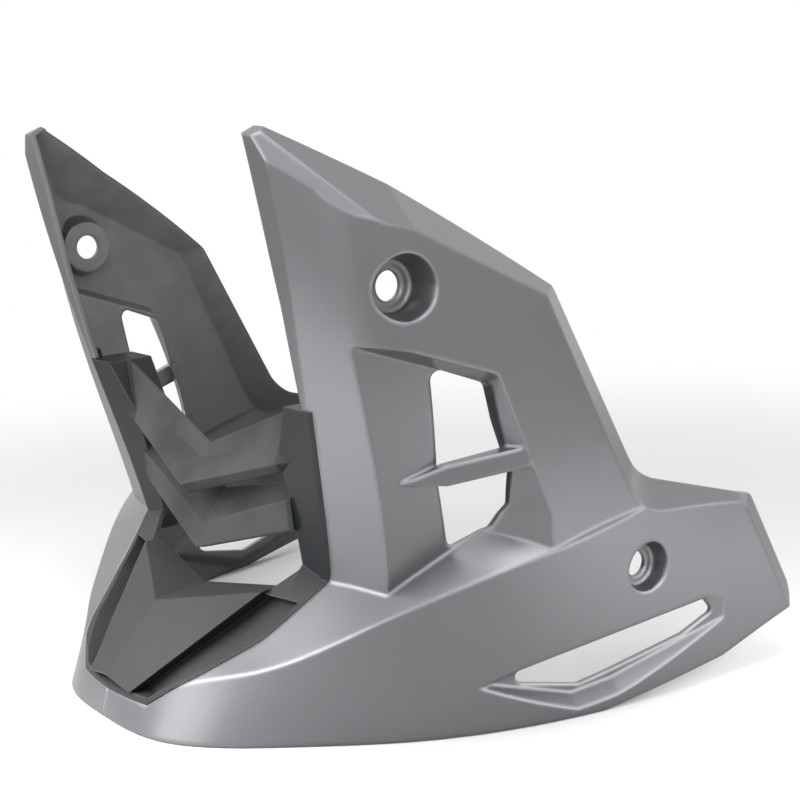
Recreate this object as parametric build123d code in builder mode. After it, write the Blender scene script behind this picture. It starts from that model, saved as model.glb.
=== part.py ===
from build123d import *
from math import cos, radians, sin, tan
import os

# Motorcycle belly pan: two painted cowls that meet at the nose, a black grille and chin
# piece between them, and the screws that hold the three mouldings together.
# X points to the rider's left, -Y forwards and Z up. The pan stands on its lower edges at
# Z = 0, and the origin lies on the middle plane, halfway along the pan's length.
# Places on the cowl are given as (out from the middle plane, back from the nose, height).

os.makedirs("parts", exist_ok=True)

# Main sizes
wall = 2.6
arm_reach = 293.2
nose_lip = 3.6
nose_y = (nose_lip - arm_reach) / 2
full_width = 220.0

# Side panel: a flat face that flares out towards the back, and its bend to the pillar
panel_out = 142.4
panel_flare = 7.3
flat_front = 75.0
flat_lean = 0.152
flat_height = 191.0
bend_bulge = (11.5, 8.0)

# Pillar: height, then out and back of its front crease and of its side crease
pillar_levels = [
    (285.0, (113.6, 29.4), (130.6, 41.7)),
    (222.0, (115.2, 41.4), (132.9, 51.3)),
    (160.0, (105.2, 53.4), (133.3, 62.6)),
    (97.0, (90.5, 66.5), (125.2, 76.0)),
    (34.0, (73.0, 72.5), (110.0, 82.0)),
]
face_lean = 0.8
duct_flare = 0.27
duct_back = 200.0
hull_inside = 40.0
hull_back = 340.0

# Belt: the low band around the nose and along both sides, out and back from the nose
belt_foot = [(-20, -3.4), (0, -nose_lip), (45, 1.5), (93.5, 44), (128.5, 92), (148.5, 137), (160, 186), (176, 320)]
belt_head = [(-20, 28), (0, 29.4), (20, 43.7), (91.7, 45.8), (138.9, 81), (163.8, 133.3), (168.6, 183.6), (186.4, 320)]
belt_height = 110.0

# Hood: the ruled top of the belt, as height along two lines that cross it at the same backs
hood_backs = [-30, 0, 24, 45, 66, 86, 110, 130, 157, 184, 330]
hood_inner = [5.6, 12.1, 39.9, 62.4, 84.7, 115, 157, 195, 235, 275, 480]
hood_outer = [10, 11, 7, 18.4, 29.7, 38, 47, 52, 56.8, 59.7, 100.7]
hood_near = -20.0
hood_far = 200.0

# Flat cuts at the top, each as its outward direction and its distance from the nose
top_cuts = [
    (Vector(0.627, 0.304, 0.717), 284.2),
    (Vector(0.6335, 0.1248, 0.7636), 281.5),
    (Vector(0.758, -0.498, 0.418), 179.8),
    (Vector(0.12, -0.398, 0.909), 244.9),
]

# Duct pocket and the window through its floor, as back and height
pocket_mouth = [(20, 202), (120.5, 168.5), (152, 100), (154, -20), (20, -20)]
pocket_deep = [(20, 193), (108, 150), (102, 100), (95, -20), (20, -20)]
pocket_reach = 10.0
pocket_depth = 40.0
pocket_round = 5.0
window_outline = [(91.5, 170.5), (117, 160), (128, 119), (129, 104), (124, 93), (106, 85.5), (97.5, 120)]
window_round = 4.0

# Fin across the window: side outline where it leaves the duct wall, and its plan
fin_near = 130.0
fin_outline = [(79, 120), (98, 127.5), (140, 136.5), (140, 121.5), (98, 116.5)]
fin_draft = 5.0
fin_plan = [(133, 80), (159.2, 131), (152.5, 131.5), (131, 82)]

# Edges of the cowl seen from the side, as back and height
rear_crease = [(83, 330), (189, 92.5), (251, 79), (310, -45)]
crease_round = 30.0
arm_top_round = 7.0
bevel_depth = 19.0
free_top = [(30, 277.5), (95, 238.3), (152.5, 197)]
free_edge = [(198, 105), (270, 83.5), (297, 31), (240, 11), (172, 0)]
elbow_round = 28.0
free_round = 9.0

# Panel edge above the belt, as back and height
belt_line = [(20, 49.5), (100, 69.5), (138, 79), (185, 91.5), (360, 137)]

# Grille window between the cowls, as out and height
window_free = [(102.7, 290), (102.7, 197), (99, 151.5)]
window_edge = [(106, 151.5), (88.5, 72), (72, 44), (55, 29), (32, 12.4)]
window_rounds = {1: 14.0, 2: 25.0}

# Mounting cups: back, height, floor distance out, floor radius, hole radius
cups = {
    "upper": (74.7, 205.9, 139.8, 10.8, 6.4),
    "rear": (193.5, 65.0, 157.5, 9.8, 5.8),
}
cup_draft = 15.0

# Long slot low on the arm and the tapered recess around it, as back and height
slot_outline = [(126.5, 25), (229.8, 41.6), (235.5, 34.5), (219, 25.8), (178.6, 15.8), (163.4, 12.7), (134, 19.6)]
slot_round = 2.5
slot_recess = [(106, 23.5), (160, 6.5), (182, 9.5), (246, 28), (247, 42), (232, 45), (126, 28)]
recess_out = 138.5
recess_back = 105.0
recess_height = 23.5
recess_slope = 0.2
recess_lean = 0.1
recess_shrink = 3.0
slot_draft = 35.0

# Flange at the nose where the two cowls and the lug of the grille are clamped together
seam_gap = 0.15
lug_half = 1.5
lug_gap = 0.1
flange_outline = [(-2.0, 0.8), (22.0, 0.8), (22.0, 11.6), (1.0, 11.6)]
flange_round = 4.0
nose_axis = (13.0, 6.2)
nose_hole = 2.7
lug_outline = [(5.5, 1.5), (20.5, 1.5), (20.5, 36), (5.5, 21)]

# Bosses inside each cowl, as out, height and back of the tip, and the ears screwed to them
bosses = [(112.0, 128.0, 79.0), (98.0, 71.0, 86.0)]
boss_radius = 4.0
pilot_radius = 1.5
pilot_depth = 10.0
ear_thick = 2.5
ear_half = 5.0
ear_hole = 1.9
ear_roots = [(96.8, 62.0), (81.8, 72.0)]

# Grille: seat behind the cowl's edge, low strip beside the chin, and walls of the columns
seat_gap = 0.35
seat_thick = 2.0
seat_width = 5.0
seat_root = 3.0
seat_start = 34.0
strip_start = 12.0
strip_top = 59.0
strip_depth = 6.0
column_top = 151.15
column_inner = [(66.8, 70.3), (68, 110), (69, 128), (84, column_top)]
column_outer = [(105.5, column_top), (105, 148.5), (85.6, 148.5), (71.6, 127), (70.6, 110), (69.1, 62)]
column_back = 80.0
column_cap = 100.0

# Chin: outline from the front, then the front face and the floor above it as cutting planes
chin_outline = [(-10, 21.4), (19.9, 15.8), (57, 61), (71.6, 74.8), (66.5, 77), (-10, 57)]
chin_cuts = [
    (Vector(0.178, -0.706, 0.686), 13.75),
    (Vector(-0.145, -0.119, 0.982), 45.2),
]
chin_rear = (Vector(-0.133, 0.991, 0), 54.6)
chin_skirt = 12.5

# Slats: section on the middle plane and at the column, as back and height
slats = [
    (
        [(63.6, 120.3), (60.3, 113.5), (46.6, 103.5), (50.7, 98), (53.5, 100.5), (62, 109.5), (66.3, 119.3)],
        84.0,
        [(66.3, 150.9), (63.3, 139.5), (62.5, 126.2), (65.4, 122.3), (67.3, 124.8), (66.4, 138.8), (69.3, 149.9)],
    ),
    (
        [(72, 97), (57.6, 82.1), (52.7, 70.5), (57, 69.5), (58.5, 73), (61.5, 81), (74.3, 94.5)],
        70.4,
        [(76, 112), (64, 105.5), (65, 91), (68, 90), (68, 93), (67.5, 103.5), (77.5, 109.5)],
    ),
]

# Fasteners
head_radius = 3.8
head_height = 2.4
shank_radius = 1.45
shank_reach = 8.5
recess_half = 0.6
bolt_radius = 2.5
bolt_flat = 4.0
bolt_flange_radius = 4.9
bolt_flange = 1.2
bolt_head = 4.4
bolt_reach = 9.4


def level(height):
    """Horizontal plane at a height, measured from the nose."""
    return Plane(origin=(0, nose_y, height), x_dir=(1, 0, 0), z_dir=(0, 0, 1))


def broadside(out):
    """Upright plane along the pan, at a distance out from the middle."""
    return Plane(origin=(out, nose_y, 0), x_dir=(0, 1, 0), z_dir=(1, 0, 0))


def crosswise(back):
    """Upright plane across the pan, at a distance back from the nose, facing back."""
    return Plane(origin=(0, nose_y + back, 0), x_dir=(-1, 0, 0), z_dir=(0, 1, 0))


panel_plane = Plane(
    origin=(panel_out, nose_y, 0),
    x_dir=(sin(radians(panel_flare)), cos(radians(panel_flare)), 0),
    z_dir=(cos(radians(panel_flare)), -sin(radians(panel_flare)), 0),
)
panel_slope = tan(radians(panel_flare))


def panel_at(back):
    """How far out the flat of the panel is, at a distance back from the nose."""
    return panel_out + panel_slope * back


def inset(skin):
    """Move the outline of the sketch being drawn in by skin, or out when it is negative."""
    if skin:
        offset(amount=-skin, kind=Kind.INTERSECTION, mode=Mode.REPLACE)


def hull_form(skin):
    """Pillar and side panel as one closed form, with its faces moved in by skin."""
    with BuildPart() as form:
        for height, front, side in pillar_levels:
            flat = flat_front + flat_lean * (flat_height - height)
            with BuildSketch(level(height)):
                with BuildLine():
                    bend = ThreePointArc(
                        side,
                        (side[0] + bend_bulge[0], side[1] + bend_bulge[1]),
                        (panel_at(flat), flat),
                    )
                    Polyline(
                        bend @ 1,
                        (panel_at(hull_back), hull_back),
                        (hull_inside, hull_back),
                        (hull_inside, front[1] + face_lean),
                        front,
                        bend @ 0,
                    )
                make_face()
                inset(skin)
        loft()
    return form.part


def duct_block(skin):
    """Everything behind the duct wall, which runs back from the side crease of the pillar."""
    with BuildPart() as block:
        for height, front, side in pillar_levels:
            with BuildSketch(level(height)):
                with BuildLine():
                    Polyline(
                        (hull_inside, side[1] - 30),
                        (side[0] - 30 * duct_flare, side[1] - 30),
                        (side[0] + duct_flare * (duct_back - side[1]), duct_back),
                        (hull_inside, duct_back),
                        close=True,
                    )
                make_face()
                inset(skin)
        loft()
    return block.part


def pocket_form(skin):
    """Duct pocket in the side panel and the room below the panel's lower edge."""
    with BuildPart() as pocket:
        for reach, outline in ((pocket_reach, pocket_mouth), (-pocket_depth, pocket_deep)):
            with BuildSketch(panel_plane.offset(reach)):
                with BuildLine():
                    Polyline(*outline, close=True)
                make_face()
                fillet(vertices().sort_by_distance(outline[1]).first, radius=pocket_round)
                inset(-skin)
        loft(ruled=True)
        with BuildSketch(broadside(0)):
            with BuildLine():
                Polyline(*[(b, h - 2 * skin) for b, h in belt_line], (360, -30), (20, -30), close=True)
            make_face()
        extrude(amount=full_width)
        add(duct_block(skin), mode=Mode.SUBTRACT)
    return pocket.part


def belt_edge(line, skin):
    """Spline through an outline of the belt, with its points moved in by skin."""
    edge = Edge.make_spline([Vector(x, y) for x, y in line])
    moved = []
    for x, y in line:
        along = edge.tangent_at(Vector(x, y))
        moved.append((x - along.Y * skin, y + along.X * skin))
    return moved


def hood_form(skin):
    """Everything above the belt's ruled top."""
    with BuildPart() as hood:
        for out, heights in ((hood_near, hood_inner), (hood_far, hood_outer)):
            with BuildSketch(broadside(out)):
                with BuildLine():
                    crest = Spline(*[(b, h - 1.25 * skin) for b, h in zip(hood_backs, heights)])
                    Polyline(crest @ 1, (hood_backs[-1], 600), (hood_backs[0], 600), crest @ 0)
                make_face()
        loft(ruled=True)
    return hood.part


def belt_form(skin):
    """Low band under its hood, closed to the middle plane and open below."""
    with BuildPart() as form:
        for height, line in ((0.0, belt_foot), (belt_height, belt_head)):
            with BuildSketch(level(height)):
                with BuildLine():
                    curve = Spline(*belt_edge(line, skin))
                    Polyline(curve @ 1, (hood_near, line[-1][1]), curve @ 0)
                make_face()
        loft(ruled=True)
        add(hood_form(skin), mode=Mode.SUBTRACT)
    return form.part


def past(direction, distance):
    """Plane that faces a direction, at a distance from the nose."""
    return Plane(origin=Vector(0, nose_y, 0) + direction * distance, z_dir=direction)


def side_form(skin):
    """All that lies inside the cowl's outline seen from the side, with its rear bevel."""
    with BuildPart() as side:
        with BuildSketch(panel_plane) as outline:
            with BuildLine():
                Polyline(*rear_crease, (-60, -45), (-60, 330), close=True)
            make_face()
            fillet(vertices().sort_by_distance(rear_crease[1]).first, radius=crease_round)
            fillet(vertices().sort_by_distance(rear_crease[2]).first, radius=arm_top_round)
            inset(1.414 * skin)
        extrude(amount=60)
        extrude(outline.sketch, amount=-bevel_depth, taper=-45)
        with BuildSketch(panel_plane.offset(-bevel_depth)):
            with Locations((140, 150)):
                Rectangle(500, 500)
        extrude(amount=-240)
    return side.part


def cowl_form(skin):
    """Closed outer form of the left cowl, with every face moved in by skin."""
    with BuildPart() as form:
        add(hull_form(skin))
        add(pocket_form(skin), mode=Mode.SUBTRACT)
        add(belt_form(skin))
        add(side_form(skin), mode=Mode.INTERSECT)
        for direction, distance in top_cuts:
            with BuildSketch(past(direction, distance - skin)):
                Rectangle(900, 900)
            extrude(amount=400, mode=Mode.SUBTRACT)
        for back, height, floor, floor_r, hole_r in cups.values():
            with BuildSketch(broadside(floor - skin)):
                with Locations((back, height)):
                    Circle(floor_r + skin)
            extrude(amount=30, taper=-cup_draft, mode=Mode.SUBTRACT)
        with BuildSketch(recess_plane.offset(-skin)):
            with BuildLine():
                Polyline(*[(b - recess_back, h - recess_height) for b, h in slot_recess], close=True)
            make_face()
            inset(recess_shrink - 0.52 * skin)
        extrude(amount=30, taper=-slot_draft, mode=Mode.SUBTRACT)
    return form.part


recess_plane = Plane(
    origin=(recess_out, nose_y + recess_back, recess_height),
    x_dir=(recess_slope, 1, 0),
    z_dir=Vector(1, -recess_slope, -recess_lean),
)


def nose_tab(outline, near, thick):
    """Upright tab beside the middle plane with the hole for the nose screw."""
    with BuildPart() as tab:
        with BuildSketch(broadside(near)):
            with BuildLine():
                Polyline(*outline, close=True)
            make_face()
            fillet(vertices().group_by(Axis.X)[-1].sort_by(Axis.Y)[0], radius=flange_round)
            with Locations(nose_axis):
                Circle(nose_hole, mode=Mode.SUBTRACT)
        extrude(amount=thick)
    return tab.part


def window_face(reach, foot=0.0, head=200.0):
    """Sketch of the grille window from the front, grown by reach, between two heights."""
    with BuildSketch(crosswise(400)) as face:
        with BuildLine():
            Polyline(
                *[(-x, z) for x, z in window_edge],
                (60, window_edge[-1][1]),
                (60, window_edge[0][1]),
                close=True,
            )
        make_face()
        for number, radius in window_rounds.items():
            x, z = window_edge[number]
            fillet(vertices().sort_by_distance((-x, z)).first, radius=radius)
        inset(-reach)
        with Locations((0, (foot + head) / 2)):
            Rectangle(400, head - foot, mode=Mode.INTERSECT)
    return face.sketch


def fin_form():
    """Wedge that crosses the window, from the duct wall to the rear lip of the pocket."""
    with BuildPart() as fin:
        with BuildSketch(broadside(fin_near)):
            with BuildLine():
                Polyline(*fin_outline, close=True)
            make_face()
        extrude(amount=40, taper=fin_draft)
        with BuildSketch(level(100)):
            with BuildLine():
                Polyline(*fin_plan, close=True)
            make_face()
        extrude(amount=50, mode=Mode.INTERSECT)
    return fin.part


outer = cowl_form(0)
inner = cowl_form(wall)

with BuildPart() as left_cowl:
    add(outer)
    add(inner, mode=Mode.SUBTRACT)
    for out, height, tip in bosses:
        with BuildSketch(crosswise(tip)):
            with Locations((-out, height)):
                Circle(boss_radius)
        extrude(amount=-30)
    add(outer, mode=Mode.INTERSECT)
    with BuildSketch(broadside(seam_gap)):
        with BuildLine():
            ridge = ThreePointArc(*free_top)
            Polyline(ridge @ 1, *free_edge, (-30, 0), (-30, 300), ridge @ 0)
        make_face()
        fillet(vertices().sort_by_distance(free_edge[0]).first, radius=elbow_round)
        fillet(vertices().sort_by_distance(free_top[2]).first, radius=free_round)
        fillet(vertices().sort_by_distance(free_edge[1]).first, radius=free_round)
        fillet(vertices().sort_by_distance(free_edge[2]).first, radius=free_round)
    extrude(amount=full_width, mode=Mode.INTERSECT)
    extrude(window_face(0), amount=-450, mode=Mode.SUBTRACT)
    with BuildSketch(crosswise(400)):
        with BuildLine():
            Polyline(*[(-x, z) for x, z in window_free], (60, 151), (60, 290), close=True)
        make_face()
    extrude(amount=-450, mode=Mode.SUBTRACT)
    add(nose_tab(flange_outline, lug_half + lug_gap, wall))
    for out, height, tip in bosses:
        with BuildSketch(crosswise(tip)):
            with Locations((-out, height)):
                Circle(pilot_radius)
        extrude(amount=-pilot_depth, mode=Mode.SUBTRACT)
    with BuildSketch(broadside(100)):
        with BuildLine():
            Polyline(*window_outline, close=True)
        make_face()
        fillet(vertices(), radius=window_round)
    extrude(amount=full_width, mode=Mode.SUBTRACT)
    add(fin_form())
    for back, height, floor, floor_r, hole_r in cups.values():
        with BuildSketch(broadside(100)):
            with Locations((back, height)):
                Circle(hole_r)
        extrude(amount=full_width, mode=Mode.SUBTRACT)
    with BuildSketch(broadside(100)):
        with BuildLine():
            Polyline(*slot_outline, close=True)
        make_face()
        fillet(vertices(), radius=slot_round)
    extrude(amount=full_width, mode=Mode.SUBTRACT)
left_cowl.part.label = "left_cowl"
export_step(left_cowl.part, "parts/left_cowl.step")

with BuildPart() as right_cowl:
    mirror(left_cowl.part, about=Plane.YZ)
right_cowl.part.label = "right_cowl"
export_step(right_cowl.part, "parts/right_cowl.step")


def chin_form(skin, skirt):
    """Crowned chin as a closed form: sides moved in by skin, front and floor by skirt."""
    with BuildPart() as chin:
        with BuildSketch(crosswise(-40)):
            with BuildLine():
                Polyline(*[(-x, z) for x, z in chin_outline], close=True)
            make_face()
            inset(skin)
        extrude(amount=140)
        for direction, distance in chin_cuts:
            with BuildSketch(past(direction, distance - skirt)):
                Rectangle(900, 900)
            extrude(amount=400, mode=Mode.SUBTRACT)
    return chin.part


def slat_form(middle, reach, end):
    """One half of a bent slat, from the middle plane to its column."""
    with BuildPart() as slat:
        for out, section in ((0, middle), (reach, end)):
            with BuildSketch(broadside(out)):
                with BuildLine():
                    Polyline(*section, close=True)
                make_face()
        loft(ruled=True)
    return slat.part


def beyond(form, start):
    """The part of a form that lies farther out than start and not too far back."""
    with BuildPart() as rest:
        add(form)
        with BuildSketch(broadside(start)):
            with Locations((30, 100)):
                Rectangle(140, 300)
        extrude(amount=full_width, mode=Mode.INTERSECT)
    return rest.part


def rib_form(foot, head):
    """Flush rim along the edge of the grille, between two heights and without a back."""
    with BuildPart() as rib:
        add(outer)
        extrude(window_face(-seat_gap, foot, head), amount=-450, mode=Mode.INTERSECT)
        extrude(window_face(-seat_root, foot, head), amount=-450, mode=Mode.SUBTRACT)
    return rib.part


def seat_form():
    """Seat of the grille behind the cowl's edge, with the rib that carries it."""
    with BuildPart() as seat:
        add(cowl_form(wall + seat_gap))
        extrude(window_face(seat_width), amount=-450, mode=Mode.INTERSECT)
        extrude(window_face(-seat_root), amount=-450, mode=Mode.SUBTRACT)
        add(rib_form(0, 200))
        add(cowl_form(wall + seat_gap + seat_thick), mode=Mode.SUBTRACT)
    return beyond(seat.part, seat_start)


def strip_form():
    """Low strip beside the chin, with the rib that edges it flush with the cowl."""
    with BuildPart() as floor:
        add(belt_form(strip_depth))
        extrude(window_face(-seat_root, 0, strip_top), amount=-450, mode=Mode.INTERSECT)
    with BuildPart() as strip:
        add(rib_form(0, strip_top))
        add(floor.part)
        add(belt_form(strip_depth + seat_thick), mode=Mode.SUBTRACT)
    return beyond(strip.part, strip_start)


def rim_form():
    """Body of a column, from its flush face to its back."""
    with BuildPart() as rim:
        with BuildSketch(crosswise(column_back)):
            with BuildLine():
                Polyline(*[(-x, z) for x, z in column_inner + column_outer], close=True)
            make_face()
        extrude(amount=-40)
        add(outer, mode=Mode.INTERSECT)
    return rim.part


def chin_shell():
    """Chin as a moulding open below, with side walls and an open back."""
    with BuildPart() as chin:
        add(chin_form(0, 0))
        add(chin_form(wall, wall), mode=Mode.SUBTRACT)
        add(chin_form(0, chin_skirt), mode=Mode.SUBTRACT)
        with BuildSketch(past(*chin_rear)):
            Rectangle(900, 900)
        extrude(amount=400, mode=Mode.SUBTRACT)
    return chin.part




with BuildPart() as grille_half:
    add(outer)
    add(inner, mode=Mode.SUBTRACT)
    extrude(window_face(-seat_gap), amount=-450, mode=Mode.INTERSECT)
    with BuildSketch(broadside(strip_start)):
        with Locations((30, strip_top / 2)):
            Rectangle(140, strip_top)
    extrude(amount=full_width, mode=Mode.SUBTRACT)
    add(seat_form())
    add(strip_form())
    with BuildSketch(crosswise(400)):
        with BuildLine():
            Polyline(
                *[(-x, z) for x, z in chin_outline[:3]],
                *[(-x, z) for x, z in column_inner],
                (-column_cap, column_top),
                (-column_cap, 200),
                (10, 200),
                close=True,
            )
        make_face()
    extrude(amount=-450, mode=Mode.SUBTRACT)
    add(rim_form())
    add(chin_shell())
    for (out, height, tip), (root, front) in zip(bosses, ear_roots):
        with BuildSketch(crosswise(tip)):
            with BuildLine():
                Polyline(
                    (-root, height - ear_half),
                    (-out, height - ear_half),
                    (-out, height + ear_half),
                    (-root, height + ear_half),
                    close=True,
                )
            make_face()
            with Locations((-out, height)):
                Circle(ear_half)
                Circle(ear_hole, mode=Mode.SUBTRACT)
        extrude(amount=ear_thick)
        with BuildSketch(crosswise(tip + ear_thick)):
            with Locations((-root - ear_thick / 2, height)):
                Rectangle(ear_thick, 2 * ear_half)
        extrude(amount=-(tip + ear_thick - front))
    for middle, reach, end in slats:
        add(slat_form(middle, reach, end))
    with BuildSketch(broadside(0)):
        with Locations((30, 100)):
            Rectangle(140, 300)
    extrude(amount=full_width, mode=Mode.INTERSECT)
    add(nose_tab(lug_outline, 0, lug_half))

with BuildPart() as centre_grille:
    add(grille_half.part)
    mirror(grille_half.part, about=Plane.YZ)
centre_grille.part.label = "centre_grille"
export_step(centre_grille.part, "parts/centre_grille.step")

with BuildPart() as grille_screws:
    for out, height, tip in bosses:
        seat = tip + ear_thick
        with BuildSketch(crosswise(seat)):
            with Locations((-out, height), (out, height)):
                Circle(head_radius)
        extrude(amount=head_height)
        with BuildSketch(crosswise(seat)):
            with Locations((-out, height), (out, height)):
                Circle(shank_radius)
        extrude(amount=-(ear_thick + shank_reach))
        with BuildSketch(crosswise(seat + head_height)):
            with Locations((-out, height), (out, height)):
                Rectangle(2 * recess_half, head_radius)
                Rectangle(head_radius, 2 * recess_half)
        extrude(amount=-head_height / 2, mode=Mode.SUBTRACT)
grille_screws.part.label = "grille_screws"
export_step(grille_screws.part, "parts/grille_screws.step")

clamp = lug_half + lug_gap + wall
with BuildPart() as nose_screw:
    with BuildSketch(broadside(clamp)):
        with Locations(nose_axis):
            Circle(bolt_flange_radius)
    extrude(amount=bolt_flange)
    with BuildSketch(broadside(clamp)):
        with Locations(nose_axis):
            RegularPolygon(bolt_flat, 6, major_radius=False)
    extrude(amount=bolt_head)
    with BuildSketch(broadside(clamp)):
        with Locations(nose_axis):
            Circle(bolt_radius)
    extrude(amount=-(clamp + bolt_reach))
nose_screw.part.label = "nose_screw"
export_step(nose_screw.part, "parts/nose_screw.step")

with BuildPart() as nose_nut:
    with BuildSketch(broadside(-clamp)):
        with Locations(nose_axis):
            Circle(bolt_flange_radius)
    extrude(amount=-bolt_flange)
    with BuildSketch(broadside(-clamp)):
        with Locations(nose_axis):
            RegularPolygon(bolt_flat, 6, major_radius=False)
    extrude(amount=-bolt_head)
    with BuildSketch(broadside(-clamp)):
        with Locations(nose_axis):
            Circle(bolt_radius)
    extrude(amount=-bolt_head, mode=Mode.SUBTRACT)
nose_nut.part.label = "nose_nut"
export_step(nose_nut.part, "parts/nose_nut.step")
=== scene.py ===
"""Motorcycle belly pan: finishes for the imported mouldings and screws, studio and camera."""

from __future__ import annotations

import logging
from dataclasses import dataclass, field
from enum import Enum
from typing import Any

import bpy
from mathutils import Matrix, Vector

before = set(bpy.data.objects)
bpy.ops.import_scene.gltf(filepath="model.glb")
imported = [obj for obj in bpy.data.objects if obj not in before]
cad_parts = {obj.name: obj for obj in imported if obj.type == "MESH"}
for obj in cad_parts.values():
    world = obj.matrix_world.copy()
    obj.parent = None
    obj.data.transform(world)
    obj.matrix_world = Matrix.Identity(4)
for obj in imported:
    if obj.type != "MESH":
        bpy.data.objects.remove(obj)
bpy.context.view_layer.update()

log = logging.getLogger("belly_pan")
RAY_SAMPLES = 6

Number = float | int
Range = tuple[float, float]
Place = tuple[float, float, float]
Colour = tuple[float, float, float, float]

WHITE: Colour = (1.0, 1.0, 1.0, 1.0)
EDGE_TURN: Range = (0.035, 0.2)


class Side(Enum):
    """Side of the motorcycle that a cowl is on, as the sign of its X."""

    LEFT = 1
    RIGHT = -1


class Level:
    """A wrapped shader socket, with the maths on its number written as operators."""

    def __init__(self, tree: NodeTree, socket: bpy.types.NodeSocket) -> None:
        """Wraps a socket.

        Args:
            tree: the tree that the socket belongs to.
            socket: the output socket.
        """
        self.tree = tree
        self.socket = socket

    def _maths(self, operation: str, *values: Level | Number) -> Level:
        """Adds one Math node.

        Args:
            operation: the node's operation.
            values: its inputs, as wrapped sockets or numbers.

        Returns:
            The node's wrapped result.
        """
        inputs = dict(enumerate(values))
        return self.tree.node("ShaderNodeMath", {"operation": operation}, inputs)

    def __add__(self, other: Level | Number) -> Level:
        """Sum of the two."""
        return self._maths("ADD", self, other)

    __radd__ = __add__

    def __sub__(self, other: Level | Number) -> Level:
        """This less the other."""
        return self._maths("SUBTRACT", self, other)

    def __rsub__(self, other: Number) -> Level:
        """The number less this."""
        return self._maths("SUBTRACT", other, self)

    def __mul__(self, other: Level | Number) -> Level:
        """Product of the two."""
        return self._maths("MULTIPLY", self, other)

    __rmul__ = __mul__

    def __neg__(self) -> Level:
        """This with its sign changed."""
        return self * -1.0

    def larger(self, other: Level | Number) -> Level:
        """The larger of the two."""
        return self._maths("MAXIMUM", self, other)

    def above(self, low: Number) -> Level:
        """A number from 0 to 1 squeezed to run from low to 1."""
        return self * (1.0 - low) + low

    def ramp(self, low: Number, high: Number) -> Level:
        """Smooth step from 0 at low to 1 at high.

        Args:
            low: value that gives 0.
            high: value that gives 1.

        Returns:
            The stepped value.
        """
        values = {"Value": self, "From Min": low, "From Max": high}
        settings = {"interpolation_type": "SMOOTHSTEP"}
        return self.tree.node("ShaderNodeMapRange", settings, values)


class NodeTree:
    """Nodes of a material or of the surroundings, with one method that adds any node."""

    def __init__(self, owner: bpy.types.Material | bpy.types.World, end: str) -> None:
        """Clears the owner's nodes and adds its output.

        Args:
            owner: the material or the world.
            end: type of the output node.
        """
        owner.use_nodes = True
        self.tree = owner.node_tree
        self.tree.nodes.clear()
        self.output = self.add(end)

    def add(
        self,
        kind: str,
        settings: dict[str, Any] | None = None,
        values: dict[str | int, Any] | None = None,
    ) -> bpy.types.Node:
        """Adds one node.

        Args:
            kind: type of the node.
            settings: its properties, set before its sockets.
            values: what its sockets take, by name or place, as values or wrapped sockets.

        Returns:
            The node.
        """
        added = self.tree.nodes.new(kind)
        for key, value in (settings or {}).items():
            setattr(added, key, value)
        for key, value in (values or {}).items():
            self.feed(added.inputs[key], value)
        return added

    def node(
        self,
        kind: str,
        settings: dict[str, Any] | None = None,
        values: dict[str | int, Any] | None = None,
        output: str | int = 0,
    ) -> Level:
        """Adds one node and wraps one of its outputs.

        Args:
            kind: type of the node.
            settings: its properties, set before its sockets.
            values: what its sockets take, by name or place, as values or wrapped sockets.
            output: which output is wanted.

        Returns:
            The wrapped output socket.
        """
        return Level(self, self.add(kind, settings, values).outputs[output])

    def feed(self, socket: bpy.types.NodeSocket, value: Any) -> None:
        """Links a wrapped socket to an input, or sets a plain value on it.

        Args:
            socket: the input.
            value: a wrapped socket or a plain value.
        """
        if isinstance(value, Level):
            self.tree.links.new(value.socket, socket)
        else:
            socket.default_value = value

    def rays(self) -> tuple[Level, Level]:
        """Two switches: 1 for rays straight to the camera, 1 for reflections and through glass."""
        path = self.add("ShaderNodeLightPath")
        names = ("Is Camera Ray", "Is Glossy Ray", "Is Transmission Ray")
        camera, glossy, through = (Level(self, path.outputs[name]) for name in names)
        return camera, glossy.larger(through)


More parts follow.
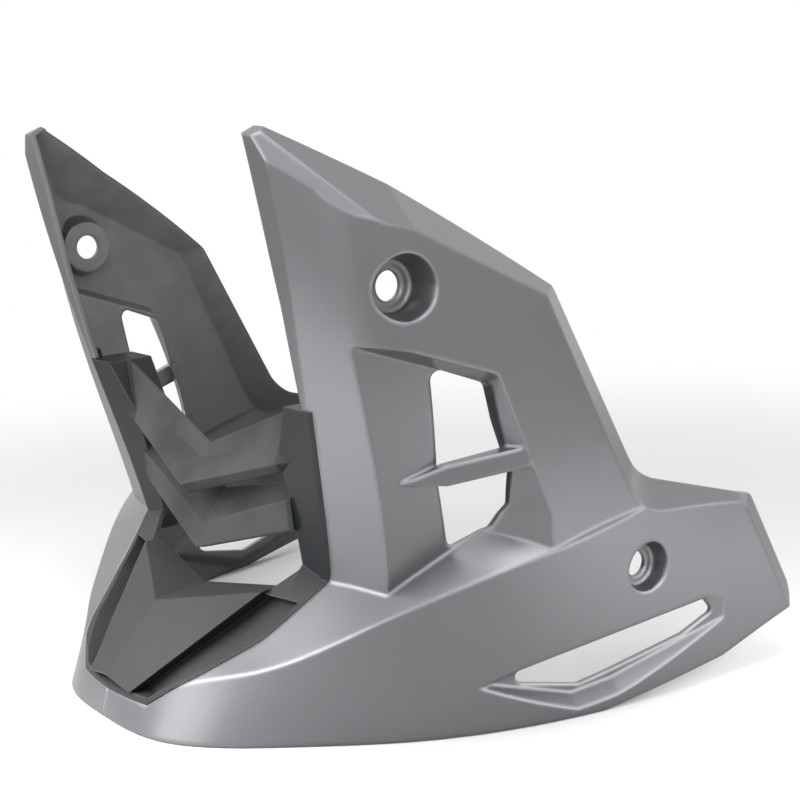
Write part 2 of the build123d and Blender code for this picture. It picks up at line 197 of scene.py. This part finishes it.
class ShaderTree(NodeTree):
    """Nodes of one material, around one shader."""

    def __init__(self, name: str) -> None:
        """Starts a material with nothing but its output and its shader.

        Args:
            name: name of the material.
        """
        self.material = bpy.data.materials.new(name)
        super().__init__(self.material, "ShaderNodeOutputMaterial")
        self.shader = self.add("ShaderNodeBsdfPrincipled")
        self.feed(self.output.inputs["Surface"], self.coating())

    def coating(self) -> Level:
        """The shader's own output."""
        return Level(self, self.shader.outputs["BSDF"])

    def set(self, **values: Any) -> None:
        """Feeds the shader's own sockets, with underscores for the blanks in their names."""
        for key, value in values.items():
            self.feed(self.shader.inputs[key.replace("_", " ")], value)

    def place(self) -> Level:
        """Object coordinates of the surface."""
        return self.node("ShaderNodeTexCoord", output="Object")

    def split(self, vector: Level) -> tuple[Level, Level, Level]:
        """Parts of a vector along the three axes."""
        parts = self.add("ShaderNodeSeparateXYZ", None, {0: vector})
        return tuple(Level(self, part) for part in parts.outputs)

    def along(self) -> tuple[Level, Level, Level]:
        """Place of the surface along the three axes."""
        return self.split(self.place())

    def facing(self) -> tuple[Level, Level, Level]:
        """Parts of the surface's direction along the three axes."""
        return self.split(self.node("ShaderNodeTexCoord", output="Normal"))

    def rounded(self, edge: Number) -> Level:
        """Surface direction with sharp edges rounded.

        Args:
            edge: radius in metres that sharp edges appear rounded to.

        Returns:
            The direction.
        """
        settings = {"samples": RAY_SAMPLES}
        return self.node("ShaderNodeBevel", settings, {"Radius": edge}, "Normal")

    def corners(self, distance: Number) -> Level:
        """How closed in a place is, high in corners and slots.

        Args:
            distance: how far off in metres a wall still counts.

        Returns:
            0 in the open, up to 1 in corners.
        """
        settings = {"samples": RAY_SAMPLES}
        values = {"Distance": distance}
        return 1.0 - self.node("ShaderNodeAmbientOcclusion", settings, values, "AO")

    def edges(self, direction: Level) -> Level:
        """How far a rounded direction turns from the flat surface, high at the edges.

        Args:
            direction: the rounded direction.

        Returns:
            0 on open faces, up to 1 at the edges.
        """
        flat = self.node("ShaderNodeNewGeometry", output="Normal")
        dot = {"operation": "DOT_PRODUCT"}
        turn = 1.0 - self.node("ShaderNodeVectorMath", dot, {0: direction, 1: flat}, "Value")
        return turn.ramp(*EDGE_TURN)

    def cover(self, layer: Level, factor: Level) -> None:
        """Lays a second shader over the first.

        Args:
            layer: output of the second shader.
            factor: how much of it shows, from 0 to 1.
        """
        layers = {0: factor, 1: self.coating(), 2: layer}
        mix = self.node("ShaderNodeMixShader", None, layers)
        self.feed(self.output.inputs["Surface"], mix)

    def noise(self, scale: Number, detail: Number) -> Level:
        """Noise on object coordinates.

        Args:
            scale: lumps per metre.
            detail: number of finer layers.

        Returns:
            Noise about 0.5.
        """
        values = {"Vector": self.place(), "Scale": scale, "Detail": detail}
        return self.node("ShaderNodeTexNoise", {"noise_dimensions": "3D"}, values)

    def cells(self, scale: Number) -> Level:
        """Distance to the nearest grain.

        Args:
            scale: grains per metre.

        Returns:
            Distance, from 0 at a grain's middle.
        """
        values = {"Vector": self.place(), "Scale": scale}
        return self.node("ShaderNodeTexVoronoi", {"feature": "F1"}, values, output="Distance")

    def blend(self, factor: Level, low: Colour | Level, high: Colour | Level) -> Level:
        """Mixes two colours.

        Args:
            factor: 0 for the first, 1 for the second.
            low: first colour.
            high: second colour.

        Returns:
            The mixed colour.
        """
        values = {0: factor, 6: low, 7: high}
        return self.node("ShaderNodeMix", {"data_type": "RGBA"}, values, output=2)

    def relief(self, height: Level, distance: Number, strength: Number, base: Level) -> Level:
        """Bump over a surface direction.

        Args:
            height: height of the relief, from 0 to 1.
            distance: depth of the relief in metres.
            strength: strength of the bump.
            base: the direction that the relief changes.

        Returns:
            The surface direction.
        """
        values = {"Height": height, "Distance": distance, "Strength": strength, "Normal": base}
        return self.node("ShaderNodeBump", None, values, output="Normal")


@dataclass(frozen=True)
class SatinPaint:
    """Satin grey metallic paint outside, and bare grey plastic inside the moulding.

    Ranges are the two ends of a smooth step. Clouds, flakes, peel, grain and patches are
    counted per metre, and lengths are in metres.
    """

    side: Side
    light: Colour = (0.25, 0.25, 0.263, 1.0)
    deep: Colour = (0.198, 0.198, 0.21, 1.0)
    # painted highlight: the pale colour that rounded edges are lightened towards
    edge_highlight: Colour = (0.47, 0.47, 0.485, 1.0)
    # painted shade: the dark colour that corners and slots are blended towards
    corner_shade: Colour = (0.07, 0.07, 0.074, 1.0)
    # painted light: the inside's colour high up and, below, its darker colour low down
    bare: Colour = (0.34, 0.341, 0.345, 1.0)
    bare_shaded: Colour = (0.1, 0.1, 0.104, 1.0)
    inward: Range = (0.25, 0.55)
    rearward: Range = (0.8, 0.95)
    clouds: float = 18.0
    flakes: float = 2400.0
    peel: float = 900.0
    grain: float = 1800.0
    depth: float = 0.00006
    bump: float = 0.35
    edge: float = 0.003
    corner: float = 0.01
    closed: Range = (0.45, 0.95)
    light_by_height: Range = (0.05, 0.27)
    patches: float = 60.0
    patch: Range = (0.35, 0.65)
    metal: float = 0.85
    rough: float = 0.285
    rough_clouds: float = 0.05
    rough_inside: float = 0.27
    coat: float = 0.2
    coat_rough: float = 0.16

    def make(self) -> bpy.types.Material:
        """Builds the material.

        Returns:
            The finished material.
        """
        tree = ShaderTree(f"satin_paint_{self.side.name.lower()}")
        across, back, _ = tree.facing()
        inward = (across * -float(self.side.value)).ramp(*self.inward)
        inside = inward.larger(back.ramp(*self.rearward))
        outside = 1.0 - inside
        cloud = tree.noise(self.clouds, 3.0)
        rounded = tree.rounded(self.edge)
        painted = self.painted(tree, cloud, rounded, outside)
        height = tree.noise(self.peel, 1.0) * outside + tree.cells(self.grain) * inside
        tree.set(
            Base_Color=tree.blend(inside, painted, self.unpainted(tree)),
            Metallic=outside * self.metal,
            Roughness=self.rough + cloud * self.rough_clouds + inside * self.rough_inside,
            Coat_Weight=outside * self.coat,
            Coat_Roughness=self.coat_rough,
            Normal=tree.relief(height, self.depth, self.bump, rounded),
        )
        return tree.material

    def painted(self, tree: ShaderTree, cloud: Level, rounded: Level, outside: Level) -> Level:
        """Colour of the paint, with a painted highlight on its edges and painted shade in its
        corners.

        Args:
            tree: the material's nodes.
            cloud: slow change of tone.
            rounded: surface direction with rounded edges.
            outside: 1 on the painted outside.

        Returns:
            The colour.
        """
        tone = (tree.noise(self.flakes, 1.0) + cloud) * 0.5
        # painted shade: the paint is darkened in corners and slots, where shade falls
        closed = tree.corners(self.corner).ramp(*self.closed)
        # painted highlight: rounded edges are lightened, as if catching light
        rim = tree.edges(rounded) * outside * (1.0 - closed) * (0.45 + cloud * 0.5)
        unshaded = tree.blend(rim, tree.blend(tone, self.deep, self.light), self.edge_highlight)
        return tree.blend(closed, unshaded, self.corner_shade)

    def unpainted(self, tree: ShaderTree) -> Level:
        """Colour of the plastic inside, with painted light: paler towards the top and darker low
        down, in random patches.

        Args:
            tree: the material's nodes.

        Returns:
            The colour.
        """
        _, _, up = tree.along()
        patchy = tree.noise(self.patches, 4.0).ramp(*self.patch)
        # painted light: the inside is blended from its dark colour low down to its pale colour
        # higher up
        return tree.blend(up.ramp(*self.light_by_height) * patchy.above(0.75), self.bare_shaded, self.bare)


@dataclass(frozen=True)
class GrainedBlack:
    """Black moulded plastic with a fine grain, smoother on its columns; painted shade darkens its
    columns and corners, and a painted highlight pales its edges.

    Ranges are the two ends of a smooth step. Clouds and grain are counted per metre, and
    lengths are in metres.
    """

    light: Colour = (0.06, 0.0602, 0.0613, 1.0)
    deep: Colour = (0.028, 0.0283, 0.029, 1.0)
    # painted shade: the darker colour of the columns; their smoother finish is real
    smooth: Colour = (0.013, 0.016, 0.018, 1.0)
    # painted shade: the dark colour that corners, slat undersides and crevices are blended towards
    corner_shade: Colour = (0.016, 0.016, 0.018, 1.0)
    # painted highlight: the pale colour that rounded edges are lightened towards
    edge_highlight: Colour = (0.16, 0.161, 0.165, 1.0)
    column: Range = (0.0665, 0.0685)
    bend: float = 0.128
    slope: float = 0.65
    foot: Range = (0.058, 0.072)
    chin: Range = (0.045, 0.1)
    clouds: float = 25.0
    patch: Range = (0.3, 0.6)
    grain: float = 1500.0
    depth: float = 0.00009
    bump: float = 0.4
    edge: float = 0.0012
    corner: float = 0.02
    closed: Range = (0.2, 0.65)
    rough: float = 0.44
    rough_clouds: float = 0.1
    rough_columns: float = -0.06
    shine: float = 0.3

    def make(self) -> bpy.types.Material:
        """Builds the material.

        Returns:
            The finished material.
        """
        tree = ShaderTree("grained_black")
        cloud = tree.noise(self.clouds, 4.0)
        rounded = tree.rounded(self.edge)
        # painted shade: the black is darkened in corners and crevices, where shade falls
        closed = tree.corners(self.corner).ramp(*self.closed)
        # painted highlight: rounded edges are lightened, as if catching light
        rim = tree.edges(rounded) * (0.3 + cloud * 0.5) * (1.0 - closed)
        across, _, up = tree.along()
        lean = (up - self.bend).larger(0.0) * self.slope
        # columns: a real smoother finish with less grain, and a darker colour that is painted
        # shade
        sleek_and_shaded = (across.larger(-across) - lean).ramp(*self.column) * up.ramp(*self.foot)
        # random pale patches that fade out towards the bottom, so the black is darker low down
        pale_patches = cloud.ramp(*self.patch) * up.ramp(*self.chin).above(0.15)
        plain = tree.blend(pale_patches, self.deep, self.light)
        black_unshaded = tree.blend(rim, tree.blend(sleek_and_shaded, plain, self.smooth), self.edge_highlight)
        height = tree.cells(self.grain) * (1.0 - sleek_and_shaded) + cloud * 0.5
        tree.set(
            Base_Color=tree.blend(closed, black_unshaded, self.corner_shade),
            Roughness=self.rough + cloud * self.rough_clouds + sleek_and_shaded * self.rough_columns,
            Specular_IOR_Level=self.shine,
            Normal=tree.relief(height, self.depth, self.bump, rounded),
        )
        return tree.material


@dataclass(frozen=True)
class ZincPlate:
    """Bright zinc plating with faint clouding.

    Clouds and pits are counted per metre, and lengths are in metres.
    """

    light: Colour = (0.62, 0.62, 0.6, 1.0)
    deep: Colour = (0.5, 0.5, 0.49, 1.0)
    clouds: float = 400.0
    patch: Range = (0.3, 0.7)
    pits: float = 3000.0
    depth: float = 0.00003
    bump: float = 0.3
    edge: float = 0.0002
    rough: float = 0.3
    rough_clouds: float = 0.12

    def make(self) -> bpy.types.Material:
        """Builds the material.

        Returns:
            The finished material.
        """
        tree = ShaderTree("zinc_plate")
        cloud = tree.noise(self.clouds, 3.0)
        height = tree.noise(self.pits, 2.0)
        tree.set(
            Base_Color=tree.blend(cloud.ramp(*self.patch), self.deep, self.light),
            Metallic=1.0,
            Roughness=self.rough + cloud * self.rough_clouds,
            Normal=tree.relief(height, self.depth, self.bump, tree.rounded(self.edge)),
        )
        return tree.material


def dress(node: str, material: bpy.types.Material) -> None:
    """Gives a CAD node its finish.

    Args:
        node: name of the node.
        material: the finish.
    """
    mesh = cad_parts[node].data
    mesh.materials.clear()
    mesh.materials.append(material)
    log.info("%s wears %s", node, material.name)


@dataclass
class Cowls:
    """The two painted mouldings."""

    nodes: dict[str, Side] = field(
        default_factory=lambda: {"left_cowl": Side.LEFT, "right_cowl": Side.RIGHT}
    )

    def build(self) -> None:
        """Dresses both cowls."""
        for node, side in self.nodes.items():
            dress(node, SatinPaint(side).make())


@dataclass
class Grille:
    """The black chin with its columns and slats."""

    node: str = "centre_grille"

    def build(self) -> None:
        """Dresses the grille."""
        dress(self.node, GrainedBlack().make())


@dataclass
class Fasteners:
    """Screws and nut that hold the mouldings together."""

    nodes: tuple[str, ...] = ("grille_screws", "nose_screw", "nose_nut")

    def build(self) -> None:
        """Dresses the fasteners."""
        plate = ZincPlate().make()
        for node in self.nodes:
            dress(node, plate)


@dataclass
class Softbox:
    """A square studio light, with lengths in metres and its power in watts."""

    name: str
    place: Place
    aim: Place
    size: float
    power: float

    def build(self) -> None:
        """Adds the light, turned towards its aim."""
        lamp = bpy.data.lights.new(self.name, "AREA")
        lamp.shape = "SQUARE"
        lamp.size = self.size
        lamp.energy = self.power
        light = bpy.data.objects.new(self.name, lamp)
        bpy.context.scene.collection.objects.link(light)
        light.location = self.place
        way = Vector(self.aim) - Vector(self.place)
        light.rotation_euler = way.to_track_quat("-Z", "Y").to_euler()
        log.info("light %s", self.name)


@dataclass
class Studio:
    """Pale floor, white surroundings and soft lights, with lengths in metres."""

    floor_size: float = 30.0
    floor_drop: float = 0.0005
    floor_colour: Colour = (0.92, 0.92, 0.92, 1.0)
    bounce_colour: Colour = (0.42, 0.42, 0.42, 1.0)
    mirror_colour: Colour = (0.6, 0.6, 0.6, 1.0)
    specks: float = 40.0
    matt: float = 0.85
    matt_specks: float = 0.05
    fade: Range = (0.35, 0.8)
    far_fade: Range = (0.7, 3.0)
    sky: float = 0.36
    lights: tuple[Softbox, ...] = (
        Softbox("top_softbox", (0.2, -0.3, 1.9), (0.0, 0.0, 0.1), 1.3, 19.0),
        Softbox("front_softbox", (0.0, -2.1, 0.95), (0.0, 0.0, 0.12), 1.9, 19.0),
        Softbox("low_softbox", (-0.02, -0.32, 0.17), (-0.02, -0.32, 0.0), 0.25, 1.0),
        Softbox("arm_softbox", (0.4, 0.16, 0.13), (0.4, 0.16, 0.0), 0.3, 0.85),
        Softbox("side_softbox", (2.0, -0.9, 1.1), (-0.1, 0.0, 0.2), 1.0, 9.0),
    )

    def build(self) -> None:
        """Adds the floor, the surroundings and the lights."""
        bpy.ops.object.select_all(action="DESELECT")
        place = (0.0, 0.0, -self.floor_drop)
        bpy.ops.mesh.primitive_plane_add(size=self.floor_size, location=place)
        floor = bpy.context.active_object
        floor.name = "floor"
        floor.data.materials.append(self.floor_material())
        self.surround()
        for light in self.lights:
            light.build()

    def floor_material(self) -> bpy.types.Material:
        """Builds the matt floor finish.

        Returns:
            The finished material.
        """
        tree = ShaderTree("pale_floor")
        camera, mirrored = tree.rays()
        length = {"operation": "LENGTH"}
        distance = tree.node("ShaderNodeVectorMath", length, {0: tree.place()}, "Value")
        speck = tree.noise(self.specks, 3.0)
        bounce = tree.blend(mirrored, self.bounce_colour, self.mirror_colour)
        tree.set(
            Base_Color=tree.blend(camera, bounce, self.floor_colour),
            Roughness=self.matt + speck * self.matt_specks,
        )
        white = tree.node("ShaderNodeEmission", None, {"Strength": 1.0})
        shown = distance.ramp(*self.fade) * camera + distance.ramp(*self.far_fade) * mirrored
        tree.cover(white, shown)
        return tree.material

    def surround(self) -> None:
        """White to the camera and in reflections, at a plain level as light."""
        world = bpy.data.worlds.new("surround")
        bpy.context.scene.world = world
        tree = NodeTree(world, "ShaderNodeOutputWorld")
        camera, mirrored = tree.rays()
        levels = {"Value": camera.larger(mirrored), "To Min": self.sky, "To Max": 1.0}
        strength = tree.node("ShaderNodeMapRange", None, levels)
        back = tree.node("ShaderNodeBackground", None, {"Color": WHITE, "Strength": strength})
        tree.feed(tree.output.inputs["Surface"], back)


@dataclass
class Viewpoint:
    """Camera at the photograph's place."""

    place: Place = (0.6637, -0.4472, 0.2911)
    ahead: Place = (-0.7929, 0.5752, -0.2013)
    upward: Place = (0.0, 0.0628, 0.998)
    lens: float = 72.0
    sensor: float = 36.0
    nearest: float = 0.01

    def build(self) -> None:
        """Adds the camera and makes it the scene's own."""
        data = bpy.data.cameras.new("camera")
        data.lens = self.lens
        data.sensor_width = self.sensor
        data.clip_start = self.nearest
        camera = bpy.data.objects.new("camera", data)
        bpy.context.scene.collection.objects.link(camera)
        ahead = Vector(self.ahead).normalized()
        right = ahead.cross(Vector(self.upward)).normalized()
        up = right.cross(ahead)
        turn = Matrix((right, up, -ahead)).transposed().to_4x4()
        camera.matrix_world = Matrix.Translation(Vector(self.place)) @ turn
        bpy.context.scene.camera = camera


def main() -> None:
    """Builds every sub-assembly, then the studio and the camera."""
    logging.basicConfig(level=logging.INFO, format="%(name)s: %(message)s")
    bpy.context.scene.view_settings.view_transform = "Standard"
    for part in (Cowls(), Grille(), Fasteners(), Studio(), Viewpoint()):
        log.info("building %s", type(part).__name__)
        part.build()


if __name__ == "__main__":
    main()
